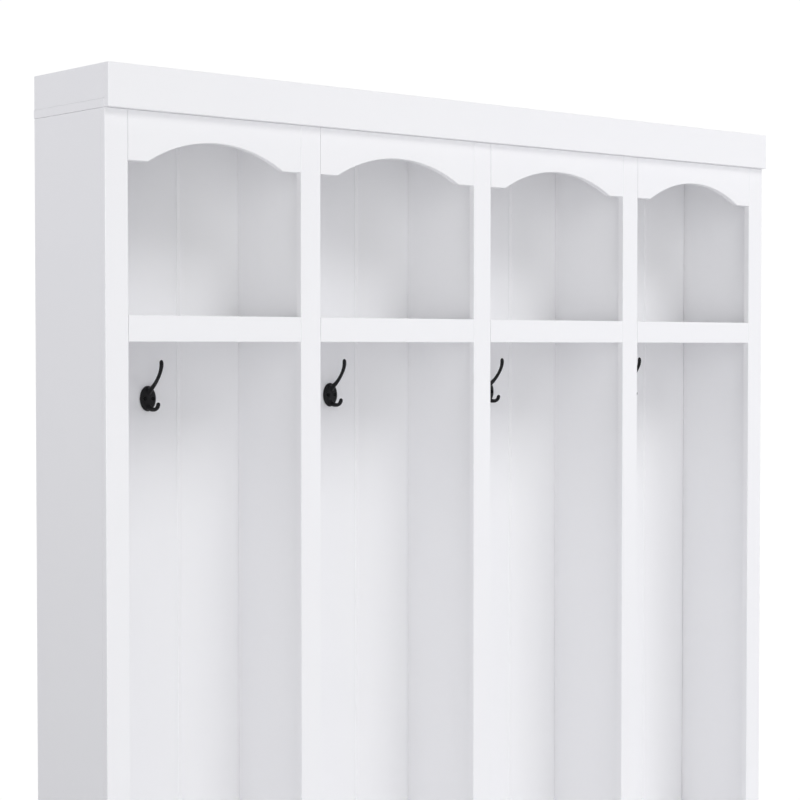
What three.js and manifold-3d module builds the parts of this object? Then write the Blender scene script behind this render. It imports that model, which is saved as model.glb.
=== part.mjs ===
// Four-bay hall tree: an open bench below, a shallow hutch with coat hooks and arched
// cubbies above, and a crown board around the top. Millimetres, +Z up, front towards -Y.
// The origin is on the floor, at the middle of the object's width and depth.

import * as THREE from 'three';
import { mergeVertices } from 'three/addons/utils/BufferGeometryUtils.js';
import Module from 'manifold-3d';

const wasm = await Module();
wasm.setup();

// ---------------------------------------------------------------- driving dimensions

// Whole object
const overall_width = 1475;
const overall_height = 1830;
const overall_depth = 400;       // seat's front edge to the wall
const bay_count = 4;

// Boards
const panel_thickness = 15;      // sides, dividers, shelves and grooved backs
const stile_width = 39;          // every strip of the face frames
const frame_thickness = 12;
const board_overhang = 1;        // the top board and the seat past each side
const joint_gap = 0.3;           // between a fastener and the hole it sits in

// Hutch
const hutch_depth = 197;         // face of the frame to the wall
const valance_drop = 73;         // top board's underside to the valance's flat lands
const arch_rise = 34;
const arch_land = 34.5;          // flat land at each end of the arch
const cubby_height = 295;        // shelf to the top board's underside
const groove_width = 8;
const groove_depth = 3;
const planks_per_bay = 3;

// Crown
const crown_height = 64;
const crown_thickness = 12;
const crown_stand_off = 10;      // crown's face in front of the frame's face
const top_thickness = 13;

// Bench
const seat_height = 455;         // floor to the seat's top
const seat_thickness = 25;
const seat_overhang = 15;        // past the bench's face frame
const toe_height = 45;           // clear height under the bottom rail
const toe_setback = 50;
const glide_height = 6;
const glide_radius = 7;
const glide_inset = 40;

// Hooks
const hook_drop = 88;            // shelf rail's underside to the hook's centre
const hook_base_width = 29;
const hook_base_height = 40;
const hook_base_thickness = 5.6;
const arm_radius = 2.7;
const ball_radius = 3.2;
const screw_spacing = 15;
const screw_length = 16;
const screw_radius = 1.75;
const screw_head_radius = 3.4;
const screw_head_height = 2;
const screw_head_sink = 0.6;     // the head's flat below the crest of the hook's base

// Wall brackets
const bracket_width = 30;
const bracket_leg = 38;
const bracket_thickness = 2.5;
const bracket_hole_radius = 2.5;
const bracket_hole_reach = 23.5; // from the angle's corner to each hole
const bracket_inset = 120;       // from each side to the bracket's middle

// ------------------------------------------------------------------- derived places

const half_width = overall_width / 2;
const wall_y = overall_depth / 2;
const bay_width = (overall_width - (bay_count + 1) * panel_thickness) / bay_count;
const bay_pitch = bay_width + panel_thickness;

const crown_z = overall_height - crown_height;
const rail_top_z = crown_z - cubby_height;
const rail_z = rail_top_z - stile_width;
const hook_z = rail_z - hook_drop;
const screw_head_out = hook_base_thickness - screw_head_sink;

const face_y = wall_y - hutch_depth;
const hutch_front_y = face_y + frame_thickness;
const back_y = wall_y - panel_thickness;
const crown_y = face_y - crown_stand_off;
const top_front_y = crown_y + crown_thickness;

const bench_face_y = seat_overhang - wall_y;
const bench_front_y = bench_face_y + frame_thickness;
const seat_z = seat_height - seat_thickness;
const bottom_rail_z = glide_height + toe_height;
const floor_top_z = bottom_rail_z + stile_width;
const floor_z = floor_top_z - panel_thickness;

// Left edge and middle of a bay, and the middle of the panel at its left.
const bayLeft = (bay) => panel_thickness - half_width + bay * bay_pitch;
const bayMiddle = (bay) => bayLeft(bay) + bay_width / 2;
const panelMiddle = (bay) => bayLeft(bay) - panel_thickness / 2;

// Clear span between the stiles in front of a bay. End stiles are flush with the sides,
// and the others are centred on their dividers.
function bayOpening(bay) {
  const left = bay === 0 ? stile_width - half_width : panelMiddle(bay) + stile_width / 2;
  const right = bay === bay_count - 1
    ? half_width - stile_width
    : panelMiddle(bay + 1) - stile_width / 2;
  return { left, right };
}

// ------------------------------------------------------------------------ materials

const finish = (color, roughness, metalness = 0) =>
  new THREE.MeshStandardMaterial({ color, roughness, metalness });

const white_board = finish(0xeeeef0, 0.45);
const black_cast = finish(0x121214, 0.55, 0.3);
const zinc_steel = finish(0xb4b6b8, 0.35, 1);
const grey_plastic = finish(0x6a6c70, 0.6);

// -------------------------------------------------------------------------- helpers

const hall_tree = new THREE.Group();

function add(name, geometry, material) {
  const mesh = new THREE.Mesh(geometry, material);
  mesh.name = name;
  hall_tree.add(mesh);
  return mesh;
}

// A board between two corners.
function board(name, [x0, y0, z0], [x1, y1, z1], material = white_board) {
  const mesh = add(name, new THREE.BoxGeometry(x1 - x0, y1 - y0, z1 - z0), material);
  mesh.position.set((x0 + x1) / 2, (y0 + y1) / 2, (z0 + z1) / 2);
  return mesh;
}

// Turns a closed geometry into a solid that can be cut and joined.
function solid(geometry) {
  const bare = geometry.clone();
  for (const attribute of ['normal', 'uv']) bare.deleteAttribute(attribute);
  const merged = mergeVertices(bare, 1e-4);
  return new wasm.Manifold(new wasm.Mesh({
    numProp: 3,
    vertProperties: new Float32Array(merged.attributes.position.array),
    triVerts: new Uint32Array(merged.index.array),
  }));
}

function geometryOf(manifold) {
  const mesh = manifold.getMesh();
  const geometry = new THREE.BufferGeometry();
  geometry.setAttribute('position', new THREE.BufferAttribute(mesh.vertProperties, 3));
  geometry.setIndex(new THREE.BufferAttribute(mesh.triVerts, 1));
  return geometry;
}

// An outline drawn in X and Z, with its front at front_y and its back one depth behind.
function uprightPlate(outline, front_y, depth, curveSegments = 12) {
  return new THREE.ExtrudeGeometry(outline, { depth, bevelEnabled: false, curveSegments })
    .rotateX(Math.PI / 2)
    .translate(0, front_y + depth, 0);
}

// A shape turned about the line that runs out of the wall, from points given as
// [distance out, radius].
function turned(points, segments) {
  const profile = points.map(([out, radius]) => new THREE.Vector2(radius, out));
  return new THREE.LatheGeometry(profile, segments).rotateX(Math.PI);
}

// ---------------------------------------------------------------------------- bench

function bench() {
  const side_x = half_width - panel_thickness;

  board('bench_left_side', [-half_width, bench_front_y, glide_height], [-side_x, wall_y, seat_z]);
  board('bench_right_side', [side_x, bench_front_y, glide_height], [half_width, wall_y, seat_z]);
  board('bench_floor', [-side_x, bench_front_y, floor_z], [side_x, wall_y, floor_top_z]);
  board('bench_back', [-side_x, back_y, floor_top_z], [side_x, wall_y, seat_z]);
  for (let bay = 1; bay < bay_count; bay += 1) {
    const left = panelMiddle(bay) - panel_thickness / 2;
    board(`bench_divider_${bay}`,
      [left, bench_front_y, floor_top_z], [left + panel_thickness, back_y, seat_z]);
  }

  const toe_y = bench_face_y + toe_setback;
  board('toe_kick', [-side_x, toe_y, glide_height], [side_x, toe_y + panel_thickness, floor_z]);
  board('rear_plinth', [-side_x, back_y, glide_height], [side_x, wall_y, floor_z]);

  board('seat_board',
    [-half_width - board_overhang, -wall_y, seat_z],
    [half_width + board_overhang, wall_y, seat_height]);

  add('bench_face_frame', benchFaceFrame(), white_board);
  glides();
}

// One glued frame: end stiles that reach down as legs, two rails, and a stile on each divider.
function benchFaceFrame() {
  const leg_x = half_width - stile_width;
  const outline = new THREE.Shape()
    .moveTo(-half_width, glide_height)
    .lineTo(-leg_x, glide_height)
    .lineTo(-leg_x, bottom_rail_z)
    .lineTo(leg_x, bottom_rail_z)
    .lineTo(leg_x, glide_height)
    .lineTo(half_width, glide_height)
    .lineTo(half_width, seat_z)
    .lineTo(-half_width, seat_z);
  let frame = solid(uprightPlate(outline, bench_face_y, frame_thickness));
  const opening_height = seat_z - stile_width - floor_top_z;
  for (let bay = 0; bay < bay_count; bay += 1) {
    const { left, right } = bayOpening(bay);
    const opening = new THREE.BoxGeometry(right - left, 3 * frame_thickness, opening_height);
    opening.translate((left + right) / 2, bench_face_y, floor_top_z + opening_height / 2);
    frame = frame.subtract(solid(opening));
  }
  return geometryOf(frame);
}

// A moulded glide under each end of both bench sides.
function glides() {
  const glide_x = half_width - panel_thickness / 2;
  const front_y = bench_front_y + glide_inset;
  const rear_y = wall_y - glide_inset;
  const places = {
    front_left: [-glide_x, front_y],
    front_right: [glide_x, front_y],
    rear_left: [-glide_x, rear_y],
    rear_right: [glide_x, rear_y],
  };
  for (const [corner, [x, y]] of Object.entries(places)) {
    const glide = new THREE.CylinderGeometry(glide_radius, glide_radius - 1, glide_height, 24);
    glide.rotateX(Math.PI / 2).translate(x, y, glide_height / 2);
    add(`glide_${corner}`, glide, grey_plastic);
  }
}

// ---------------------------------------------------------------------------- hutch

function hutch() {
  const side_x = half_width - panel_thickness;
  board('left_side_panel', [-half_width, hutch_front_y, seat_height], [-side_x, wall_y, crown_z]);
  board('right_side_panel', [side_x, hutch_front_y, seat_height], [half_width, wall_y, crown_z]);

  for (let bay = 1; bay < bay_count; bay += 1) {
    const left = panelMiddle(bay) - panel_thickness / 2;
    board(`divider_${bay}`,
      [left, hutch_front_y, seat_height], [left + panel_thickness, back_y, crown_z]);
  }

  faceStiles();
  for (let bay = 0; bay < bay_count; bay += 1) {
    const number = bay + 1;
    const { left, right } = bayOpening(bay);
    board(`shelf_rail_${number}`,
      [left, face_y, rail_z], [right, hutch_front_y, rail_top_z]);
    board(`shelf_${number}`,
      [bayLeft(bay), hutch_front_y, rail_top_z - panel_thickness],
      [bayLeft(bay) + bay_width, back_y, rail_top_z]);
    add(`arched_valance_${number}`, archedValance(left, right), white_board);
    add(`grooved_back_${number}`, groovedBack(bay), white_board);
  }
}

function faceStiles() {
  for (let index = 0; index <= bay_count; index += 1) {
    const ends = { 0: 'left_stile', [bay_count]: 'right_stile' };
    const left = index === 0 ? -half_width : bayOpening(index - 1).right;
    board(ends[index] ?? `stile_${index}`,
      [left, face_y, seat_height], [left + stile_width, hutch_front_y, crown_z]);
  }
}

// Flat lands beside the stiles, and one circular arc between them.
function archedValance(left, right) {
  const middle = (left + right) / 2;
  const half_chord = (right - left) / 2 - arch_land;
  const radius = (half_chord ** 2 + arch_rise ** 2) / (2 * arch_rise);
  const land_z = crown_z - valance_drop;
  const centre_z = land_z + arch_rise - radius;
  const start = Math.asin((land_z - centre_z) / radius);
  const outline = new THREE.Shape()
    .moveTo(left, crown_z)
    .lineTo(left, land_z)
    .absarc(middle, centre_z, radius, Math.PI - start, start, true)
    .lineTo(right, land_z)
    .lineTo(right, crown_z);
  return uprightPlate(outline, face_y, frame_thickness, 14);
}

// The backs meet behind the dividers, and V grooves share each bay between its planks.
function groovedBack(bay) {
  const left = bay === 0 ? bayLeft(0) : panelMiddle(bay);
  const right = bay === bay_count - 1 ? bayLeft(bay) + bay_width : panelMiddle(bay + 1);
  const section = new THREE.Shape().moveTo(left, wall_y).lineTo(left, back_y);
  for (let plank = 1; plank < planks_per_bay; plank += 1) {
    const groove_x = bayLeft(bay) + plank * bay_width / planks_per_bay;
    section.lineTo(groove_x - groove_width / 2, back_y);
    section.lineTo(groove_x, back_y + groove_depth);
    section.lineTo(groove_x + groove_width / 2, back_y);
  }
  section.lineTo(right, back_y).lineTo(right, wall_y);
  const height = crown_z - seat_height;
  const sheet = new THREE.ExtrudeGeometry(section, { depth: height, bevelEnabled: false });
  let back = solid(sheet.translate(0, 0, seat_height));
  for (const x of screwPlaces(bay)) {
    const hole = turned([[-screw_length, 0], [-screw_length, screw_radius + joint_gap],
      [1, screw_radius + joint_gap], [1, 0]], 12);
    back = back.subtract(solid(hole.translate(x, back_y, hook_z)));
  }
  return geometryOf(back);
}

// ---------------------------------------------------------------------------- crown

function crown() {
  const inner_x = half_width - crown_thickness;
  const board_top_z = crown_z + top_thickness;
  board('top_board',
    [-half_width - board_overhang, top_front_y, crown_z],
    [half_width + board_overhang, wall_y, board_top_z]);
  board('crown_front',
    [-half_width, crown_y, crown_z], [half_width, top_front_y, overall_height]);
  board('crown_left',
    [-half_width, top_front_y, board_top_z], [-inner_x, wall_y, overall_height]);
  board('crown_right',
    [inner_x, top_front_y, board_top_z], [half_width, wall_y, overall_height]);
  wallBracket('wall_bracket_left', bracket_inset - half_width, board_top_z);
  wallBracket('wall_bracket_right', half_width - bracket_inset, board_top_z);
}

// A steel angle on the top board, with its upright leg against the wall.
function wallBracket(name, x, base_z) {
  const corner = new THREE.Shape()
    .moveTo(0, 0)
    .lineTo(bracket_leg, 0)
    .lineTo(bracket_leg, bracket_thickness)
    .lineTo(bracket_thickness, bracket_thickness)
    .lineTo(bracket_thickness, bracket_leg)
    .lineTo(0, bracket_leg);
  // The outline is drawn as distance from the wall and height, so it is stood up and
  // turned until its first axis points away from the wall.
  const angle = new THREE.ExtrudeGeometry(corner, { depth: bracket_width, bevelEnabled: false })
    .rotateX(Math.PI / 2)
    .rotateZ(-Math.PI / 2)
    .translate(x + bracket_width / 2, wall_y, base_z);
  const drill = () =>
    new THREE.CylinderGeometry(bracket_hole_radius, bracket_hole_radius, bracket_leg, 20);
  const wall_hole = drill().translate(x, wall_y, base_z + bracket_hole_reach);
  const board_hole = drill().rotateX(Math.PI / 2).translate(x, wall_y - bracket_hole_reach, base_z);
  add(name, geometryOf(solid(angle).subtract(solid(wall_hole)).subtract(solid(board_hole))),
    zinc_steel);
}

// ---------------------------------------------------------------------------- hooks

// Centres of a hook's two screws, side by side.
const screwPlaces = (bay) =>
  [-1, 1].map((side) => bayMiddle(bay) + side * screw_spacing / 2);

// A round rod along points given as [distance out of the wall, height], with a ball on
// its free end.
function prong(points) {
  const path = new THREE.CatmullRomCurve3(
    points.map(([out, height]) => new THREE.Vector3(0, -out, height)));
  const section = new THREE.Shape().absarc(0, 0, arm_radius, 0, 2 * Math.PI);
  const rod = new THREE.ExtrudeGeometry(section, {
    extrudePath: path, steps: 18, curveSegments: 5, bevelEnabled: false,
  });
  const [out, height] = points.at(-1);
  const ball = new THREE.SphereGeometry(ball_radius, 12, 8).translate(0, -out, height);
  return solid(rod).add(solid(ball));
}

// An oval domed base with a long prong for coats and hats and a short one for bags.
function hookGeometry() {
  const base = turned([[0, 0], [0, 1], [0.36, 1], [0.64, 0.93], [0.85, 0.76], [0.97, 0.42],
    [1, 0]], 32);
  base.scale(hook_base_width / 2, hook_base_thickness, hook_base_height / 2);
  const upper = prong([[3, 10], [8, 12.8], [16, 18.2], [25, 26.2], [33, 35.7], [38.2, 44.4],
    [40, 52.5], [39.4, 58]]);
  const lower = prong([[2.6, -12.5], [9, -16], [17, -17.4], [24.6, -16.4], [29, -13],
    [30.8, -8.2]]);
  let hook = solid(base).add(upper).add(lower);
  const head = screw_head_radius + joint_gap;
  const shank = screw_radius + joint_gap;
  const seat_out = screw_head_out - screw_head_height - joint_gap;
  for (const side of [-1, 1]) {
    const sink = turned([[-1, 0], [-1, shank], [seat_out, shank],
      [seat_out + screw_head_height, head], [hook_base_thickness + 2, head],
      [hook_base_thickness + 2, 0]], 20);
    hook = hook.subtract(solid(sink.translate(side * screw_spacing / 2, 0, 0)));
  }
  return geometryOf(hook);
}

// A countersunk wood screw, drawn from its point to its head.
function screwGeometry() {
  const point = screw_head_out - screw_length;
  return turned([[point, 0], [point + 3, screw_radius],
    [screw_head_out - screw_head_height, screw_radius], [screw_head_out, screw_head_radius],
    [screw_head_out, 0]], 16);
}

function hooks() {
  for (let bay = 0; bay < bay_count; bay += 1) {
    const number = bay + 1;
    add(`coat_hook_${number}`, hookGeometry(), black_cast)
      .position.set(bayMiddle(bay), back_y, hook_z);
    screwPlaces(bay).forEach((x, index) => {
      add(`hook_screw_${number}${'ab'[index]}`, screwGeometry(), black_cast)
        .position.set(x, back_y, hook_z);
    });
  }
}

bench();
hutch();
crown();
hooks();

export default hall_tree;
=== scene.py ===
import math

import bmesh
import bpy
from mathutils import Matrix, Vector


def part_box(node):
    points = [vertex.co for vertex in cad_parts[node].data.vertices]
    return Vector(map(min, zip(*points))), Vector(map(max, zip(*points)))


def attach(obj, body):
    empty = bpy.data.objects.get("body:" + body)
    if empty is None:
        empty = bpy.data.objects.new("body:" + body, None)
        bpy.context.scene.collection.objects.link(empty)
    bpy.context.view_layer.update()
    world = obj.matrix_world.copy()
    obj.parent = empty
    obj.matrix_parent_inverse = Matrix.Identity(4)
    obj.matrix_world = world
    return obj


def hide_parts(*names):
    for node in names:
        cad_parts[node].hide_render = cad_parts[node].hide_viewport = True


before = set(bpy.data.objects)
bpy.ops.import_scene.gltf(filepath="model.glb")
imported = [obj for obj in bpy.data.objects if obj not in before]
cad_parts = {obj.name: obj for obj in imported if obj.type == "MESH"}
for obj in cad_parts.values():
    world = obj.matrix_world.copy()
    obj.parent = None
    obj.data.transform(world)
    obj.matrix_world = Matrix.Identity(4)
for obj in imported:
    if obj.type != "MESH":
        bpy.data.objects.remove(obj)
BOXES = {node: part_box(node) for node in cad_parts}

bl_info = {
    "name": "Hall Tree",
    "version": (1, 0, 0),
    "blender": (4, 5, 0),
    "location": "View3D > Sidebar > Hall Tree",
    "description": "Models the finished surfaces of a four-bay hall tree around its fixed frame",
    "category": "Add Mesh",
}

MM = 0.001
BODY = "root"
BAYS = (1, 2, 3, 4)

WELD = 0.001 * MM                 # points nearer than this are one point
PROBE = 2 * MM                    # how far beside an edge to look for another board
BOARD_EDGE = math.radians(35)     # a board's edges turn by more, an arch's facets by less
SQUARE_EDGE = math.radians(70)    # an edge that is still square turns by more


# ------------------------------------------------------------------ small helpers


def linear(hex_colour):
    """An sRGB hex colour, such as "F0F0F2", as linear red, green and blue."""
    parts = [int(hex_colour[i:i + 2], 16) / 255 for i in (0, 2, 4)]
    return tuple(c / 12.92 if c <= 0.04045 else ((c + 0.055) / 1.055) ** 2.4 for c in parts)


def select_only(obj):
    """Leaves obj the one selected and active object, in object mode."""
    if bpy.context.mode != "OBJECT":
        bpy.ops.object.mode_set(mode="OBJECT")
    bpy.ops.object.select_all(action="DESELECT")
    if obj is not None:
        obj.select_set(True)
        bpy.context.view_layer.objects.active = obj


def edit(obj, parts="verts", test=None):
    """Enters edit mode on obj with only those of its parts that pass the test selected."""
    select_only(obj)
    bpy.ops.object.mode_set(mode="EDIT")
    mode = {"verts": "VERT", "edges": "EDGE", "faces": "FACE"}[parts]
    bpy.ops.mesh.select_mode(type=mode)
    bpy.ops.mesh.select_all(action="DESELECT")
    if test is not None:
        mesh = bmesh.from_edit_mesh(obj.data)
        for part in getattr(mesh, parts):
            if test(part):
                part.select_set(True)
        mesh.select_flush_mode()
        bmesh.update_edit_mesh(obj.data)


def edit_all(obj):
    """Enters edit mode on obj with all of it selected."""
    edit(obj)
    bpy.ops.mesh.select_all(action="SELECT")


def near(value, target, tolerance=0.02 * MM):
    """Whether two coordinates are the same but for rounding."""
    return abs(value - target) < tolerance


def apply_modifier(obj, kind, **settings):
    """Adds one modifier with its settings and applies it."""
    select_only(obj)
    bpy.ops.object.modifier_add(type=kind)
    modifier = obj.modifiers[-1]
    for name, value in settings.items():
        setattr(modifier, name, value)
    bpy.ops.object.modifier_apply(modifier=modifier.name)


def place_in_mesh(obj):
    """Moves the object's place into its mesh, so the object sits at the origin."""
    select_only(obj)
    bpy.ops.object.transform_apply(location=True, rotation=True, scale=True)


def block(name, low, high):
    """A new cube between two corners, ready to be shaped."""
    select_only(None)
    low, high = Vector(low), Vector(high)
    bpy.ops.mesh.primitive_cube_add(size=1, location=(low + high) / 2, scale=high - low)
    obj = bpy.context.active_object
    obj.name = name
    place_in_mesh(obj)
    return obj


def smooth(obj, degrees):
    """Shades obj smooth, apart from the edges that turn by more than this angle."""
    select_only(obj)
    bpy.ops.object.shade_smooth_by_angle(angle=math.radians(degrees))


def shade_flats(obj):
    """Smooths the rounded edges, and keeps the flats shaded flat."""
    smooth(obj, degrees=60)
    apply_modifier(obj, "WEIGHTED_NORMAL", keep_sharp=True)


def ease_edges(obj, width, segments=3, degrees=35):
    """Rounds every edge that turns by more than this angle."""
    apply_modifier(obj, "BEVEL", width=width, segments=segments, limit_method="ANGLE",
                   angle_limit=math.radians(degrees), use_clamp_overlap=True)
    shade_flats(obj)


def meets_board(point, node):
    """Whether a point lies in the box of a CAD node other than this one."""
    return any(other != node and all(low[i] < point[i] < high[i] for i in range(3))
               for other, (low, high) in BOXES.items())


def is_free(edge, node):
    """Whether some stretch of a node's edge has no other board over either of its faces.
    It looks near both ends and in the middle."""
    across = PROBE * (edge.link_faces[0].normal - edge.link_faces[1].normal)
    start, end = (vert.co for vert in edge.verts)
    for share in (0.1, 0.5, 0.9):
        point = start.lerp(end, share)
        if not (meets_board(point + across, node) or meets_board(point - across, node)):
            return True
    return False


def ease_board(obj, node, width, joint_width):
    """Rounds a board's free edges, and only breaks the edges where other boards meet it."""
    edit(obj, "edges", lambda edge: edge.calc_face_angle() > BOARD_EDGE and is_free(edge, node))
    bpy.ops.mesh.bevel(offset=width, segments=3, affect="EDGES", clamp_overlap=True)
    edit(obj, "edges", lambda edge: len(edge.link_faces) == 2
         and edge.calc_face_angle() > SQUARE_EDGE)
    bpy.ops.mesh.bevel(offset=joint_width, segments=1, affect="EDGES", clamp_overlap=True)
    bpy.ops.object.mode_set(mode="OBJECT")
    shade_flats(obj)


def single_point(name, place):
    """A new mesh cut down to one corner of a small plane, selected in edit mode at its place,
    ready to be extruded or spun."""
    select_only(None)
    bpy.ops.mesh.primitive_plane_add(size=MM)
    obj = bpy.context.active_object
    obj.name = name
    edit(obj, "verts", lambda vert: vert.index > 0)
    bpy.ops.mesh.delete(type="VERT")
    mesh = bmesh.from_edit_mesh(obj.data)
    mesh.verts.ensure_lookup_table()
    mesh.verts[0].co = place
    mesh.verts[0].select_set(True)
    bmesh.update_edit_mesh(obj.data)
    return obj


def close_seams():
    """Welds the mesh in edit mode where its points coincide, turns its faces outwards, and
    leaves edit mode."""
    bpy.ops.mesh.select_all(action="SELECT")
    bpy.ops.mesh.remove_doubles(threshold=WELD)
    bpy.ops.mesh.normals_make_consistent(inside=False)
    bpy.ops.object.mode_set(mode="OBJECT")


def turned(name, profile, place, out, steps=48):
    """Spins a profile of (distance out, radius) points, given in millimetres, round the line
    that leaves place along out. The profile starts and ends on that line."""
    obj = single_point(name, (profile[0][1] * MM, 0, profile[0][0] * MM))
    for (out_a, radius_a), (out_b, radius_b) in zip(profile, profile[1:]):
        step = ((radius_b - radius_a) * MM, 0, (out_b - out_a) * MM)
        bpy.ops.mesh.extrude_region_move(TRANSFORM_OT_translate={"value": step})
    bpy.ops.mesh.select_all(action="SELECT")
    bpy.ops.mesh.spin(steps=steps, angle=2 * math.pi, center=(0, 0, 0), axis=(0, 0, 1))
    close_seams()
    turn = Vector(out).to_track_quat("Z", "Y").to_matrix().to_4x4()
    obj.matrix_world = Matrix.Translation(place) @ turn
    place_in_mesh(obj)
    return obj


def cut(obj, cutter):
    """Cuts one solid out of another and removes the cutter."""
    apply_modifier(obj, "BOOLEAN", operation="DIFFERENCE", solver="EXACT", object=cutter)
    bpy.data.objects.remove(cutter, do_unlink=True)


def join(name, pieces):
    """Joins pieces into one object."""
    select_only(pieces[0])
    for piece in pieces[1:]:
        piece.select_set(True)
    bpy.ops.object.join()
    joined = bpy.context.active_object
    joined.name = name
    return joined


def moved_copy(obj, name, offset):
    """A copy of a finished shape with its own mesh, moved by offset."""
    select_only(obj)
    bpy.ops.object.duplicate(linked=False)
    copy = bpy.context.active_object
    copy.name = name
    copy.location = Vector(offset)
    place_in_mesh(copy)
    return copy


def finish_piece(obj, material, nodes=()):
    """Gives a piece its finish, lets it ride on the body, and lets it stand for CAD nodes."""
    obj.data.materials.clear()
    obj.data.materials.append(material)
    place_in_mesh(obj)
    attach(obj, BODY)
    if nodes:
        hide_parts(*nodes)
    return obj


# ---------------------------------------------------------------------- materials


def add_node(tree, kind, settings=None, **inputs):
    """Adds a shader node. Settings are its own properties. Inputs are socket values, or the
    sockets of other nodes to link from; an underscore in a name stands for a space."""
    node = tree.nodes.new(kind)
    for name, value in (settings or {}).items():
        setattr(node, name, value)
    for name, value in inputs.items():
        socket = node.inputs[int(name[1:]) if name[1:].isdigit() else name.replace("_", " ")]
        if isinstance(value, bpy.types.NodeSocket):
            tree.links.new(value, socket)
        else:
            socket.default_value = value
    return node


def shared(build):
    """Has a material built once, under the name of the function that builds it, and found
    again after that."""
    def find_or_build(colours):
        return bpy.data.materials.get(build.__name__) or build(colours)
    return find_or_build


def new_material(name):
    """A new material, its node tree, its Principled shader and its object coordinates."""
    material = bpy.data.materials.new(name)
    material.use_nodes = True
    tree = material.node_tree
    tree.nodes.clear()
    shader = add_node(tree, "ShaderNodeBsdfPrincipled")
    add_node(tree, "ShaderNodeOutputMaterial", Surface=shader.outputs["BSDF"])
    place = add_node(tree, "ShaderNodeTexCoord").outputs["Object"]
    return material, tree, shader, place


def per_metre(size_mm):
    """The scale of a noise whose features are about size_mm across."""
    return 1000 / size_mm


@shared
def satin_lacquered_mdf(colours):
    """Fibreboard sprayed with white satin lacquer: an even, faintly cool white with a soft sheen,
    a fine orange peel, and cloudy patches where the coats dried a little flatter."""
    material, tree, shader, place = new_material("satin_lacquered_mdf")
    clouds = add_node(tree, "ShaderNodeTexNoise", Vector=place, Scale=per_metre(240), Detail=3.0,
                      Roughness=0.5)
    tint = add_node(tree, "ShaderNodeMix", {"data_type": "RGBA"}, _0=clouds.outputs["Fac"],
                    _6=(*colours.lacquer_shade, 1), _7=(*colours.lacquer, 1))
    tree.links.new(tint.outputs[2], shader.inputs["Base Color"])
    sheen_patches = add_node(tree, "ShaderNodeTexNoise", Vector=place, Scale=per_metre(35),
                             Detail=2.0)
    rough = add_node(tree, "ShaderNodeMapRange", Value=sheen_patches.outputs["Fac"], To_Min=0.42,
                     To_Max=0.54)
    tree.links.new(rough.outputs["Result"], shader.inputs["Roughness"])
    # Orange peel is about 1.5 mm from crest to crest on sprayed board.
    peel = add_node(tree, "ShaderNodeTexNoise", Vector=place, Scale=per_metre(1.5), Detail=1.0)
    bump = add_node(tree, "ShaderNodeBump", Strength=0.25, Distance=0.02 * MM,
                    Height=peel.outputs["Fac"])
    tree.links.new(bump.outputs["Normal"], shader.inputs["Normal"])
    shader.inputs["IOR"].default_value = 1.48
    return material


@shared
def powder_coated_zinc(colours):
    """Die-cast zinc with a matte black powder coat: nearly black, a broad soft highlight, and the
    fine dimpled skin that baked powder leaves."""
    material, tree, shader, place = new_material("powder_coated_zinc")
    grain = add_node(tree, "ShaderNodeTexNoise", Vector=place, Scale=per_metre(0.6), Detail=2.0)
    # The grain sets both the colour and the bump, so the coat is darker wherever the bump is low:
    # painted shade in the dimples.
    tint = add_node(tree, "ShaderNodeMix", {"data_type": "RGBA"}, _0=grain.outputs["Fac"],
                    _6=(*colours.powder_shade, 1), _7=(*colours.powder, 1))
    tree.links.new(tint.outputs[2], shader.inputs["Base Color"])
    rough = add_node(tree, "ShaderNodeMapRange", Value=grain.outputs["Fac"], To_Min=0.4,
                     To_Max=0.6)
    tree.links.new(rough.outputs["Result"], shader.inputs["Roughness"])
    bump = add_node(tree, "ShaderNodeBump", Strength=0.35, Distance=0.05 * MM,
                    Height=grain.outputs["Fac"])
    tree.links.new(bump.outputs["Normal"], shader.inputs["Normal"])
    shader.inputs["IOR"].default_value = 1.38
    return material


@shared
def blackened_steel(colours):
    """Wood screws in black oxide: smoother than the cast hook, with a sharper highlight that the
    oxide's fine grain breaks up."""
    material, tree, shader, place = new_material("blackened_steel")
    marks = add_node(tree, "ShaderNodeTexNoise", Vector=place, Scale=per_metre(0.4), Detail=3.0)
    rough = add_node(tree, "ShaderNodeMapRange", Value=marks.outputs["Fac"], To_Min=0.28,
                     To_Max=0.45)
    tree.links.new(rough.outputs["Result"], shader.inputs["Roughness"])
    tint = add_node(tree, "ShaderNodeMix", {"data_type": "RGBA"}, _0=marks.outputs["Fac"],
                    _6=(*colours.powder_shade, 1), _7=(*colours.screw, 1))
    tree.links.new(tint.outputs[2], shader.inputs["Base Color"])
    shader.inputs["Metallic"].default_value = 0.8
    return material


@shared
def zinc_plated_steel(colours):
    """Pressed steel with bright zinc plate: a cool grey metal with the blotched spangle of the
    plating bath and fine rolling lines along the strip."""
    material, tree, shader, place = new_material("zinc_plated_steel")
    spangle = add_node(tree, "ShaderNodeTexVoronoi", Vector=place, Scale=per_metre(4))
    tint = add_node(tree, "ShaderNodeMix", {"data_type": "RGBA"},
                    _0=spangle.outputs["Distance"], _6=(*colours.zinc, 1),
                    _7=(*colours.zinc_shade, 1))
    tree.links.new(tint.outputs[2], shader.inputs["Base Color"])
    rolled = add_node(tree, "ShaderNodeMapping", Vector=place, Scale=(1, 40, 40))
    lines = add_node(tree, "ShaderNodeTexNoise", Vector=rolled.outputs["Vector"],
                     Scale=per_metre(20), Detail=2.0)
    rough = add_node(tree, "ShaderNodeMapRange", Value=lines.outputs["Fac"], To_Min=0.25,
                     To_Max=0.42)
    tree.links.new(rough.outputs["Result"], shader.inputs["Roughness"])
    shader.inputs["Metallic"].default_value = 1.0
    return material


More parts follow.
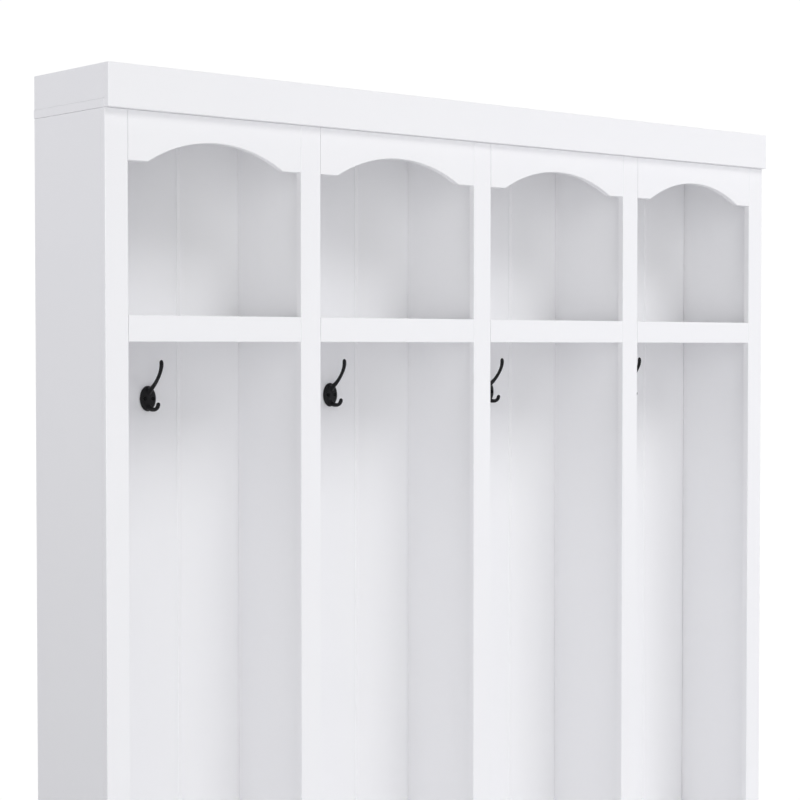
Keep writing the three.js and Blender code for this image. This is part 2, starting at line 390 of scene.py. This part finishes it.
@shared
def moulded_polyethylene(colours):
    """Injection-moulded glides: waxy mid grey with a fine spark-eroded grain that scatters the
    highlight."""
    material, tree, shader, place = new_material("moulded_polyethylene")
    grain = add_node(tree, "ShaderNodeTexNoise", Vector=place, Scale=per_metre(0.5), Detail=2.0)
    # The grain sets both the colour and the bump, so the plastic is darker wherever the bump is
    # low: painted shade in the grain's hollows.
    tint = add_node(tree, "ShaderNodeMix", {"data_type": "RGBA"}, _0=grain.outputs["Fac"],
                    _6=(*colours.glide_shade, 1), _7=(*colours.glide, 1))
    tree.links.new(tint.outputs[2], shader.inputs["Base Color"])
    bump = add_node(tree, "ShaderNodeBump", Strength=0.3, Distance=0.05 * MM,
                    Height=grain.outputs["Fac"])
    tree.links.new(bump.outputs["Normal"], shader.inputs["Normal"])
    shader.inputs["Roughness"].default_value = 0.55
    shader.inputs["IOR"].default_value = 1.51
    return material


@shared
def studio_floor(colours):
    """A seamless pale studio floor: matte, with mottling so faint that it only stops the floor
    from looking drawn."""
    material, tree, shader, place = new_material("studio_floor")
    mottle = add_node(tree, "ShaderNodeTexNoise", Vector=place, Scale=per_metre(500))
    tint = add_node(tree, "ShaderNodeMix", {"data_type": "RGBA"}, _0=mottle.outputs["Fac"],
                    _6=(*[0.985 * part for part in colours.floor], 1), _7=(*colours.floor, 1))
    tree.links.new(tint.outputs[2], shader.inputs["Base Color"])
    shader.inputs["Roughness"].default_value = 0.9
    return material


# --------------------------------------------------------------------- properties


def length(name, description, default_mm):
    return bpy.props.FloatProperty(name=name, description=description, default=default_mm * MM,
                                   min=0, unit="LENGTH", precision=5)


def colour(name, description, hex_colour):
    return bpy.props.FloatVectorProperty(name=name, description=description, size=3, min=0, max=1,
                                         subtype="COLOR", default=linear(hex_colour))


class HallTreeSizes(bpy.types.PropertyGroup):
    """Sizes that the finished surfaces add to the frame's own sizes."""

    edge_ease: length("Edge ease", "Radius of the eased edges of every board", 1.2)
    seat_ease: length("Seat ease", "Radius of the seat's edges", 3)
    joint_ease: length("Joint ease", "Width of the broken edges where boards meet", 0.25)
    corner_break: length("Corner break", "Bevel that draws a line where a back meets its walls",
                         1.4)
    joint_gap: length("Joint gap", "Space left round each board where boards meet", 0.15)
    groove_width: length("Groove width", "Width of the V grooves between planks", 8)
    groove_depth: length("Groove depth", "Depth of the V grooves between planks", 3)
    arch_land: length("Arch land", "Flat at each end of a valance's arch", 34.5)
    arch_rise: length("Arch rise", "Height of a valance's arch above its lands", 34)
    strip_width: length("Frame strip", "Width of the bench frame's stiles and rails", 39)
    hook_base_thickness: length("Hook base", "Thickness of the hook's domed base", 5.6)
    voxel: length("Casting grid", "Grid that blends a hook's prongs into its base", 0.45)
    screw_length: length("Screw length", "Length of a hook screw", 16)
    bracket_thickness: length("Bracket", "Thickness of the wall brackets", 2.5)


class HallTreeColours(bpy.types.PropertyGroup):
    """Colours of the finishes."""

    lacquer: colour("Lacquer", "White satin lacquer", "FCFCFD")
    lacquer_shade: colour("Lacquer, flatter", "White lacquer where it dried flatter", "FAFAFC")
    powder: colour("Powder coat", "Black powder coat on the hooks", "0C0C0F")
    # The deep powder colour is painted shade in the hook's dimples; on the screws it is tone that
    # differs at random.
    powder_shade: colour("Powder coat, deep", "Black powder coat in its dimples", "060608")
    screw: colour("Black oxide", "Black oxide on the screws", "151517")
    zinc: colour("Zinc", "Bright zinc plate", "C9CCD0")
    zinc_shade: colour("Zinc, dull", "Zinc plate between its spangles", "A4A8AE")
    glide: colour("Glide", "Grey moulded plastic", "77797D")
    # The deep glide colour is painted shade in the grain's hollows.
    glide_shade: colour("Glide, deep", "Grey moulded plastic in its grain", "66686C")
    floor: colour("Floor", "Studio floor", "E6E6E8")


class HallTreeStage(bpy.types.PropertyGroup):
    """Camera and light."""

    azimuth: bpy.props.FloatProperty(
        name="Azimuth", description="Direction of view, from straight ahead towards the right",
        default=math.radians(40.84), subtype="ANGLE")
    tilt: bpy.props.FloatProperty(
        name="Tilt", description="Downward tilt of the camera", default=math.radians(1.59),
        subtype="ANGLE")
    camera_x: length("Camera side", "Camera left of the cabinet's left side", 1480)
    camera_y: length("Camera distance", "Camera in front of the cabinet's face", 2354)
    camera_drop: length("Camera drop", "Camera below the crown's top", 404.7)
    lens: bpy.props.FloatProperty(
        name="Lens", description="Focal length", default=86.69, unit="CAMERA")
    floor_radius: length("Floor radius", "Radius of the round studio floor", 2600)
    backdrop: bpy.props.FloatProperty(
        name="Backdrop", description="Brightness of the white backdrop", default=1.03)
    dome: bpy.props.FloatProperty(
        name="Dome", description="Brightness of the studio all round", default=0.275)
    fill: bpy.props.FloatProperty(
        name="Fill", description="Strength of the broad light from the camera's side",
        default=1.16)
    key: bpy.props.FloatProperty(
        name="Key", description="Strength of the high light in front", default=1.05)
    back: bpy.props.FloatProperty(
        name="Back", description="Strength of the light behind the hutch", default=1.0)
    left: bpy.props.FloatProperty(
        name="Left panel", description="Power of the panel on the left", default=16,
        unit="POWER")
    right: bpy.props.FloatProperty(
        name="Right panel", description="Power of the panel on the right", default=24,
        unit="POWER")


# ----------------------------------------------------------------------- operators


class HALLTREE_OT_stage(bpy.types.Operator):
    """Make the floor, the soft studio light and the camera"""

    bl_idname = "hall_tree.stage"
    bl_label = "Stage"

    # Broad lights: angle above level, and width as seen from the hutch, in degrees. The fill
    # comes from a little under level, so that it reaches up under the rails.
    fill_rise, fill_width = -9, 75
    key_rise, key_width = 45, 30
    back_rise, back_width = 25, 90
    key_turn = -8  # counted as the azimuth is: the key stands a little right of the front
    # Softboxes: place and size, in metres, and the point that both are turned to.
    left_place, left_size = (-3.2, 0.3, 2.5), 0.8
    right_place, right_size = (2.6, -2.9, 1.7), 2.2
    aim = (0, 0, 1.5)
    # Both tints are a white with a trace of blue.
    dome_tint = "FDFDFF"
    softbox_tint = "F7F7FF"

    def execute(self, context):
        stage = context.scene.hall_tree_stage
        self.floor(stage, context.scene.hall_tree_colours)
        self.dome(context.scene, stage)
        self.broad_light("fill_light", stage.fill, stage.azimuth, self.fill_rise,
                         self.fill_width)
        self.broad_light("key_light", stage.key, math.radians(self.key_turn), self.key_rise,
                         self.key_width)
        self.broad_light("back_light", stage.back, stage.azimuth + math.pi, self.back_rise,
                         self.back_width)
        self.softbox("left_panel", stage.left, self.left_place, self.left_size)
        self.softbox("right_panel", stage.right, self.right_place, self.right_size)
        self.camera(context.scene, stage)
        context.scene.view_settings.view_transform = "Standard"
        return {"FINISHED"}

    def floor(self, stage, colours):
        select_only(None)
        bpy.ops.mesh.primitive_circle_add(vertices=128, radius=stage.floor_radius,
                                          fill_type="NGON")
        floor = bpy.context.active_object
        floor.name = "studio_floor"
        floor.data.materials.append(studio_floor(colours))

    def dome(self, scene, stage):
        """Lights the hutch with an even, dim dome. The camera sees white paper instead of it."""
        world = bpy.data.worlds.new("studio_dome")
        world.use_nodes = True
        tree = world.node_tree
        tree.nodes.clear()
        seen = add_node(tree, "ShaderNodeLightPath").outputs["Is Camera Ray"]
        dome = add_node(tree, "ShaderNodeBackground", Color=(*linear(self.dome_tint), 1),
                        Strength=stage.dome)
        paper = add_node(tree, "ShaderNodeBackground", Color=(1, 1, 1, 1),
                         Strength=stage.backdrop)
        both = add_node(tree, "ShaderNodeMixShader", _0=seen, _1=dome.outputs["Background"],
                        _2=paper.outputs["Background"])
        add_node(tree, "ShaderNodeOutputWorld", Surface=both.outputs["Shader"])
        scene.world = world

    def broad_light(self, name, strength, azimuth, rise, width):
        """A distant light, as wide as a bank of softboxes. It shines the way that azimuth
        turns from straight ahead towards the right, and comes from rise degrees above level."""
        select_only(None)
        bpy.ops.object.light_add(type="SUN")
        light = bpy.context.active_object
        light.name = name
        light.data.energy = strength
        light.data.angle = math.radians(width)
        light.rotation_euler = (math.pi / 2 - math.radians(rise), 0, -azimuth)

    def softbox(self, name, power, place, size):
        """A square softbox turned to the hutch."""
        select_only(None)
        bpy.ops.object.light_add(type="AREA", location=place)
        panel = bpy.context.active_object
        panel.name = name
        panel.data.shape = "SQUARE"
        panel.data.size = size
        panel.data.energy = power
        panel.data.color = linear(self.softbox_tint)
        way = Vector(self.aim) - panel.location
        panel.rotation_euler = way.to_track_quat("-Z", "Y").to_euler()

    def camera(self, scene, stage):
        """A camera placed from the left stile's face and the crown's top."""
        left = BOXES["left_stile"][0]
        select_only(None)
        bpy.ops.object.camera_add()
        camera = bpy.context.active_object
        camera.name = "camera"
        camera.location = (left.x - stage.camera_x, left.y - stage.camera_y,
                           BOXES["crown_front"][1].z - stage.camera_drop)
        camera.rotation_euler = (math.pi / 2 - stage.tilt, 0, -stage.azimuth)
        camera.data.sensor_width = 36
        camera.data.lens = stage.lens
        camera.data.clip_start = 0.05
        scene.camera = camera


class HALLTREE_OT_boards(bpy.types.Operator):
    """Model the straight boards of the bench, the hutch and the crown"""

    bl_idname = "hall_tree.boards"
    bl_label = "Boards"

    def execute(self, context):
        sizes = context.scene.hall_tree_sizes
        lacquer = satin_lacquered_mdf(context.scene.hall_tree_colours)
        names = sorted(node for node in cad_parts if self.is_board(node))
        for node in names:
            low, high = BOXES[node]
            gap = Vector((sizes.joint_gap,) * 3)
            piece = block(f"{node}_board", low + gap, high - gap)
            ease = sizes.seat_ease if node == "seat_board" else sizes.edge_ease
            ease_board(piece, node, ease, sizes.joint_ease)
            finish_piece(piece, lacquer, [node])
        return {"FINISHED"}

    @staticmethod
    def is_board(node):
        """Whether a node is a plain board, and not a shape with an operator of its own."""
        others = ("arched_valance", "grooved_back", "bench_face_frame", "coat_hook",
                  "hook_screw", "wall_bracket", "glide")
        return not node.startswith(others)


class HALLTREE_OT_valances(bpy.types.Operator):
    """Model the arched valances between the stiles"""

    bl_idname = "hall_tree.valances"
    bl_label = "Arched valances"

    arch_steps = 36

    def execute(self, context):
        sizes = context.scene.hall_tree_sizes
        lacquer = satin_lacquered_mdf(context.scene.hall_tree_colours)
        for node in sorted(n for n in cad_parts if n.startswith("arched_valance")):
            piece = self.valance(node, sizes)
            finish_piece(piece, lacquer, [node])
        return {"FINISHED"}

    def valance(self, node, sizes):
        """A board with a circular arch between two level lands in its lower edge."""
        low, high = BOXES[node]
        gap = sizes.joint_gap
        middle = (low.x + high.x) / 2
        half_chord = (high.x - low.x) / 2 - sizes.arch_land
        radius = (half_chord ** 2 + sizes.arch_rise ** 2) / (2 * sizes.arch_rise)
        centre = Vector((middle, low.y + gap, low.z + sizes.arch_rise - radius))
        half_angle = math.asin(half_chord / radius)

        # The arch is spun from its left foot.
        piece = single_point(f"{node}_board", (middle - half_chord, centre.y, low.z))
        bpy.ops.mesh.spin(steps=self.arch_steps, angle=-2 * half_angle, center=centre,
                          axis=(0, 1, 0))

        # It is drawn up and flattened to a straight top edge, and out over both lands.
        top = high.z - gap
        bpy.ops.mesh.select_all(action="SELECT")
        bpy.ops.mesh.extrude_region_move(TRANSFORM_OT_translate={"value": (0, 0, top - low.z)})
        bpy.ops.transform.resize(value=(1, 1, 0), center_override=(middle, centre.y, top))
        for side, edge_x in ((-1, low.x + gap), (1, high.x - gap)):
            end_x = middle + side * half_chord
            edit(piece, "edges", lambda edge: all(near(v.co.x, end_x) for v in edge.verts))
            bpy.ops.mesh.extrude_region_move(
                TRANSFORM_OT_translate={"value": (edge_x - end_x, 0, 0)})
        close_seams()
        front = piece.data.polygons[0].normal.y < 0
        apply_modifier(piece, "SOLIDIFY", thickness=high.y - low.y - 2 * gap,
                       offset=-1 if front else 1)
        ease_board(piece, node, sizes.edge_ease, sizes.joint_ease)
        return piece


class HALLTREE_OT_backs(bpy.types.Operator):
    """Model the grooved back boards"""

    bl_idname = "hall_tree.backs"
    bl_label = "Grooved backs"

    planks = 3  # in each bay, all of one width
    walls = ("left_side_panel", "divider_1", "divider_2", "divider_3", "right_side_panel")

    def execute(self, context):
        sizes = context.scene.hall_tree_sizes
        lacquer = satin_lacquered_mdf(context.scene.hall_tree_colours)
        for bay, left, right in zip(BAYS, self.walls, self.walls[1:]):
            node = f"grooved_back_{bay}"
            inner_left, inner_right = BOXES[left][1].x, BOXES[right][0].x
            plank = (inner_right - inner_left) / self.planks
            grooves = [inner_left + plank * i for i in range(1, self.planks)]
            piece = self.grooved(node, grooves, sizes)
            finish_piece(piece, lacquer, [node])
        return {"FINISHED"}

    def grooved(self, node, grooves, sizes):
        """A back board with a V groove at each of the places across it."""
        low, high = BOXES[node]
        gap = Vector((sizes.joint_gap, 0, sizes.joint_gap))
        piece = block(f"{node}_board", low + gap, high - gap)
        half = sizes.groove_width / 2
        for x in grooves:
            for cut_x in (x - half, x, x + half):
                edit_all(piece)
                bpy.ops.mesh.bisect(plane_co=(cut_x, 0, 0), plane_no=(1, 0, 0))
            edit(piece, "verts", lambda vert: near(vert.co.x, x) and near(vert.co.y, low.y))
            bpy.ops.transform.translate(value=(0, sizes.groove_depth, 0))
        # Its two upright front edges are bevelled, where it meets the walls.
        ends = (low.x + gap.x, high.x - gap.x)
        edit(piece, "edges", lambda edge: any(
            all(near(vert.co.x, end) and near(vert.co.y, low.y) for vert in edge.verts)
            for end in ends))
        bpy.ops.mesh.bevel(offset=sizes.corner_break, segments=1, affect="EDGES")
        bpy.ops.object.mode_set(mode="OBJECT")
        ease_edges(piece, 0.5 * sizes.edge_ease, segments=2, degrees=25)
        return piece


class HALLTREE_OT_bench_frame(bpy.types.Operator):
    """Model the bench's face frame from its glued strips"""

    bl_idname = "hall_tree.bench_frame"
    bl_label = "Bench face frame"

    def execute(self, context):
        sizes = context.scene.hall_tree_sizes
        low, high = BOXES["bench_face_frame"]
        width = sizes.strip_width
        floor_top = BOXES["bench_floor"][1].z

        # Each strip's left, right, lower and upper edge.
        strips = {"left_leg": (low.x, low.x + width, low.z, high.z),
                  "right_leg": (high.x - width, high.x, low.z, high.z)}
        rails = (low.x + width, high.x - width)
        strips["top_rail"] = (*rails, high.z - width, high.z)
        strips["bottom_rail"] = (*rails, floor_top - width, floor_top)
        for divider in ("bench_divider_1", "bench_divider_2", "bench_divider_3"):
            box = BOXES[divider]
            middle = (box[0].x + box[1].x) / 2
            strips[divider] = (middle - width / 2, middle + width / 2, floor_top,
                               high.z - width)
        gap = sizes.joint_gap
        pieces = []
        for name, (x0, x1, z0, z1) in strips.items():
            strip = block(name, (x0 + gap, low.y + gap, z0 + gap),
                          (x1 - gap, high.y - gap, z1 - gap))
            ease_edges(strip, sizes.edge_ease)
            pieces.append(strip)
        face_frame = join("bench_face_frame_strips", pieces)
        lacquer = satin_lacquered_mdf(context.scene.hall_tree_colours)
        finish_piece(face_frame, lacquer, ["bench_face_frame"])
        return {"FINISHED"}


def hook_place(number):
    """Middle of a hook's base on the face of its back board."""
    screws = [BOXES[f"hook_screw_{number}{letter}"] for letter in "ab"]
    ends = [corner for box in screws for corner in box]
    middle = sum(ends, Vector()) / len(ends)
    return Vector((middle.x, BOXES[f"grooved_back_{number}"][0].y, middle.z))


def screw_offset():
    """A hook screw's distance to the side of its hook's middle."""
    low, high = BOXES["hook_screw_1b"]
    return (low.x + high.x) / 2 - hook_place(1).x


class HALLTREE_OT_hooks(bpy.types.Operator):
    """Model the cast double-prong coat hooks"""

    bl_idname = "hall_tree.hooks"
    bl_label = "Coat hooks"

    # Stations along each prong: distance out of the panel, height above the base's middle,
    # and radius, in millimetres.
    upper_prong = ((1.5, 7, 5.6), (5, 11.6, 5.0), (10, 14.8, 4.1), (16.5, 18.8, 3.4),
                   (25, 26.2, 3.0), (32.6, 35.2, 2.9), (37.8, 43.8, 3.05), (39.9, 51.5, 3.35),
                   (39.7, 56, 3.5), (39.4, 59.2, 2.8), (39.3, 60.7, 1.0))
    lower_prong = ((1.5, -10, 5.6), (4.5, -14, 4.9), (9.5, -16.2, 4.0), (17, -17.2, 3.4),
                   (24, -16.4, 3.2), (28.6, -13.4, 3.35), (30.6, -9.2, 3.5), (31, -6.6, 2.9),
                   (31.1, -5.3, 1.1))
    # The base's section, as (share of its thickness, share of its half width).
    base_section = ((0, 0), (0, 0.97), (0.08, 1.0), (0.34, 1.0), (0.58, 0.955), (0.78, 0.85),
                    (0.92, 0.66), (0.99, 0.38), (1.0, 0))
    base_width = 29
    base_height = 40
    sides_of_prong = 12
    # Countersink for a screw: distance out of the panel and radius. It clears the shank, then
    # opens to clear the head.
    countersink_profile = ((-1, 0), (-1, 2.1), (2.6, 2.1), (4.9, 3.75), (8, 3.75), (8, 0))

    def execute(self, context):
        sizes = context.scene.hall_tree_sizes
        finish = powder_coated_zinc(context.scene.hall_tree_colours)
        first = self.hook(sizes)
        for number in BAYS:
            hook = moved_copy(first, f"coat_hook_{number}_casting", hook_place(number))
            finish_piece(hook, finish, [f"coat_hook_{number}"])
        bpy.data.objects.remove(first, do_unlink=True)
        return {"FINISHED"}

    def hook(self, sizes):
        """A domed oval base, with both prongs blended into it and two countersinks."""
        thickness = sizes.hook_base_thickness / MM
        profile = [(share * thickness, reach) for share, reach in self.base_section]
        base = turned("hook_base", profile, (0, 0, 0), (0, -1, 0), steps=64)
        edit_all(base)
        bpy.ops.transform.resize(value=(self.base_width / 2, 1, self.base_height / 2),
                                 center_override=(0, 0, 0))
        bpy.ops.object.mode_set(mode="OBJECT")
        parts = [base, self.prong("upper", self.upper_prong),
                 self.prong("lower", self.lower_prong)]
        hook = join("hook", parts)

        # Remeshed as one skin, and smoothed until the prongs' roots are fillets.
        apply_modifier(hook, "REMESH", mode="VOXEL", voxel_size=sizes.voxel)
        apply_modifier(hook, "SMOOTH", factor=0.5, iterations=8)
        for side in (-1, 1):
            place = (side * screw_offset(), 0, 0)
            cut(hook, turned("countersink", self.countersink_profile, place, (0, -1, 0)))
        smooth(hook, degrees=40)
        return hook

    def prong(self, name, stations):
        """Extrudes a ring from station to station, turned to face along the prong."""
        out, height, radius = stations[0]
        select_only(None)
        bpy.ops.mesh.primitive_circle_add(vertices=self.sides_of_prong, radius=radius * MM,
                                          fill_type="NGON", rotation=(math.pi / 2, 0, 0),
                                          location=(0, -out * MM, height * MM))
        prong = bpy.context.active_object
        prong.name = name
        place_in_mesh(prong)
        edit_all(prong)
        tilt = 0.0
        for index in range(1, len(stations)):
            here, last = stations[index], stations[index - 1]
            after = stations[min(index + 1, len(stations) - 1)]
            centre = (0, -here[0] * MM, here[1] * MM)
            bpy.ops.mesh.extrude_region_move(TRANSFORM_OT_translate={
                "value": (0, (last[0] - here[0]) * MM, (here[1] - last[1]) * MM)})
            slope = math.atan2(after[1] - last[1], after[0] - last[0])
            bpy.ops.transform.rotate(value=slope - tilt, orient_axis="X",
                                     center_override=centre)
            tilt = slope
            bpy.ops.transform.resize(value=(here[2] / last[2],) * 3, center_override=centre)
        bpy.ops.mesh.select_all(action="SELECT")
        bpy.ops.mesh.normals_make_consistent(inside=False)
        bpy.ops.object.mode_set(mode="OBJECT")
        apply_modifier(prong, "SUBSURF", levels=2, render_levels=2)
        return prong


class HALLTREE_OT_screws(bpy.types.Operator):
    """Model the countersunk hook screws with their cross recesses"""

    bl_idname = "hall_tree.screws"
    bl_label = "Screws"

    # In millimetres: the point and the shank, and the head's height.
    point_length = 3
    point_radius = 1.6
    shank_radius = 1.7
    head_height = 2.1
    # The head's rounded rim, as (depth below its top, distance inside its edge).
    rim = ((0.3, 0.1), (0.1, 0.05), (0, 0.3))
    # One slot of the cross recess: half its width, half its length, and its depth.
    slot_half_width = 0.45
    slot_half_length = 1.7
    slot_depth = 1.3

    def execute(self, context):
        sizes = context.scene.hall_tree_sizes
        black = blackened_steel(context.scene.hall_tree_colours)
        low, high = BOXES["hook_screw_1a"]
        back_y = BOXES["grooved_back_1"][0].y
        head_out = (back_y - low.y) / MM
        head_radius = (high.x - low.x) / 2 / MM
        first = self.screw(head_out, head_radius, sizes.screw_length / MM)
        for number in BAYS:
            for letter in "ab":
                node = f"hook_screw_{number}{letter}"
                box = BOXES[node]
                middle = (box[0] + box[1]) / 2
                place = Vector((middle.x, back_y, middle.z))
                piece = moved_copy(first, f"{node}_turned", place)
                finish_piece(piece, black, [node])
        bpy.data.objects.remove(first, do_unlink=True)
        return {"FINISHED"}

    def screw(self, head_out, head_radius, full_length):
        """A turned screw, its head's top head_out in front of the panel, in millimetres."""
        tip = head_out - full_length
        rim = [(head_out - depth, head_radius - inside) for depth, inside in self.rim]
        profile = [(tip, 0), (tip + self.point_length, self.point_radius),
                   (head_out - self.head_height, self.shank_radius), *rim, (head_out, 0)]
        screw = turned("screw", profile, (0, 0, 0), (0, -1, 0), steps=40)
        centre = Vector((0, -head_out * MM, 0))
        for along in (0, 2):
            reach = Vector((self.slot_half_width, self.slot_depth, self.slot_half_width)) * MM
            reach[along] = self.slot_half_length * MM
            cut(screw, block("slot", centre - reach, centre + reach))
        smooth(screw, degrees=30)
        return screw


class HALLTREE_OT_brackets(bpy.types.Operator):
    """Model the steel wall brackets on the top board"""

    bl_idname = "hall_tree.brackets"
    bl_label = "Wall brackets"

    # In millimetres: the holes' radius, their distance from the bend's outer faces, half the
    # length of the drill that cuts them, and the width of the bevelled edges.
    hole_radius = 2.5
    hole_reach = 23.5
    drill_reach = 5
    edge_break = 0.4

    def execute(self, context):
        sizes = context.scene.hall_tree_sizes
        zinc = zinc_plated_steel(context.scene.hall_tree_colours)
        for node in ("wall_bracket_left", "wall_bracket_right"):
            bracket = self.bracket(node, sizes)
            finish_piece(bracket, zinc, [node])
        return {"FINISHED"}

    def bracket(self, node, sizes):
        """A strip along the top board whose end is drawn up the wall, with a hole in each leg."""
        low, high = BOXES[node]
        leg = sizes.bracket_thickness
        piece = block(f"{node}_pressing", low, (high.x, high.y, low.z + leg))
        edit_all(piece)
        bpy.ops.mesh.bisect(plane_co=(0, high.y - leg, 0), plane_no=(0, 1, 0))
        edit(piece, "faces", lambda face: face.normal.z > 0.9
             and face.calc_center_median().y > high.y - leg)
        bpy.ops.mesh.extrude_region_move(
            TRANSFORM_OT_translate={"value": (0, 0, high.z - low.z - leg)})
        bpy.ops.object.mode_set(mode="OBJECT")
        middle = (low.x + high.x) / 2
        reach = self.hole_reach * MM
        radius, half = self.hole_radius, self.drill_reach
        hole = ((-half, 0), (-half, radius), (half, radius), (half, 0))
        cut(piece, turned("hole", hole, (middle, high.y - reach, low.z), (0, 0, 1), 32))
        cut(piece, turned("hole", hole, (middle, high.y, low.z + reach), (0, 1, 0), 32))
        apply_modifier(piece, "BEVEL", width=self.edge_break * MM, segments=2,
                       limit_method="ANGLE", angle_limit=math.radians(50))
        smooth(piece, degrees=40)
        return piece


class HALLTREE_OT_glides(bpy.types.Operator):
    """Model the moulded glides under the bench's sides"""

    bl_idname = "hall_tree.glides"
    bl_label = "Glides"

    # The rounded foot, as (height above the floor, distance inside the rim), and the rounded
    # rim, as (depth below the bench, distance inside the rim), in millimetres.
    foot = ((0, 2.2), (0.4, 1.4), (1.4, 0.9))
    rim = ((0.5, 0.1), (0.1, 0.3))

    def execute(self, context):
        plastic = moulded_polyethylene(context.scene.hall_tree_colours)
        for corner in ("front_left", "front_right", "rear_left", "rear_right"):
            node = f"glide_{corner}"
            low, high = BOXES[node]
            middle = (low + high) / 2
            radius = (high.x - low.x) / 2 / MM
            height = (high.z - low.z) / MM
            foot = [(up, radius - inside) for up, inside in self.foot]
            rim = [(height - depth, radius - inside) for depth, inside in self.rim]
            profile = [(0, 0), *foot, *rim, (rim[-1][0], 0)]
            glide = turned(f"{node}_moulding", profile, (middle.x, middle.y, low.z), (0, 0, 1))
            smooth(glide, degrees=35)
            finish_piece(glide, plastic, [node])
        return {"FINISHED"}


# --------------------------------------------------------------------------- panel


OPERATORS = (
    HALLTREE_OT_stage,
    HALLTREE_OT_boards,
    HALLTREE_OT_valances,
    HALLTREE_OT_backs,
    HALLTREE_OT_bench_frame,
    HALLTREE_OT_hooks,
    HALLTREE_OT_screws,
    HALLTREE_OT_brackets,
    HALLTREE_OT_glides,
)


class HALLTREE_PT_panel(bpy.types.Panel):
    """Lists the hall tree's operators and settings"""

    bl_idname = "HALLTREE_PT_panel"
    bl_label = "Hall Tree"
    bl_space_type = "VIEW_3D"
    bl_region_type = "UI"
    bl_category = "Hall Tree"

    def draw(self, context):
        for operator in OPERATORS:
            self.layout.operator(operator.bl_idname)
        for group in ("hall_tree_sizes", "hall_tree_colours", "hall_tree_stage"):
            settings = getattr(context.scene, group)
            box = self.layout.box()
            for name in settings.__annotations__:
                box.prop(settings, name)


GROUPS = {
    "hall_tree_sizes": HallTreeSizes,
    "hall_tree_colours": HallTreeColours,
    "hall_tree_stage": HallTreeStage,
}


def register():
    """Registers the groups, their place in the scene, the operators and the panel."""
    for group in GROUPS.values():
        bpy.utils.register_class(group)
    for name, group in GROUPS.items():
        setattr(bpy.types.Scene, name, bpy.props.PointerProperty(type=group))
    for cls in (*OPERATORS, HALLTREE_PT_panel):
        bpy.utils.register_class(cls)


def unregister():
    """Takes away all that register added."""
    for cls in (HALLTREE_PT_panel, *reversed(OPERATORS)):
        bpy.utils.unregister_class(cls)
    for name, group in GROUPS.items():
        delattr(bpy.types.Scene, name)
        bpy.utils.unregister_class(group)


def main():
    """Models the hall tree."""
    register()
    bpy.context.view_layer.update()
    for operator in OPERATORS:
        category, name = operator.bl_idname.split(".")
        getattr(getattr(bpy.ops, category), name)()
    select_only(None)


if __name__ == "__main__":
    main()
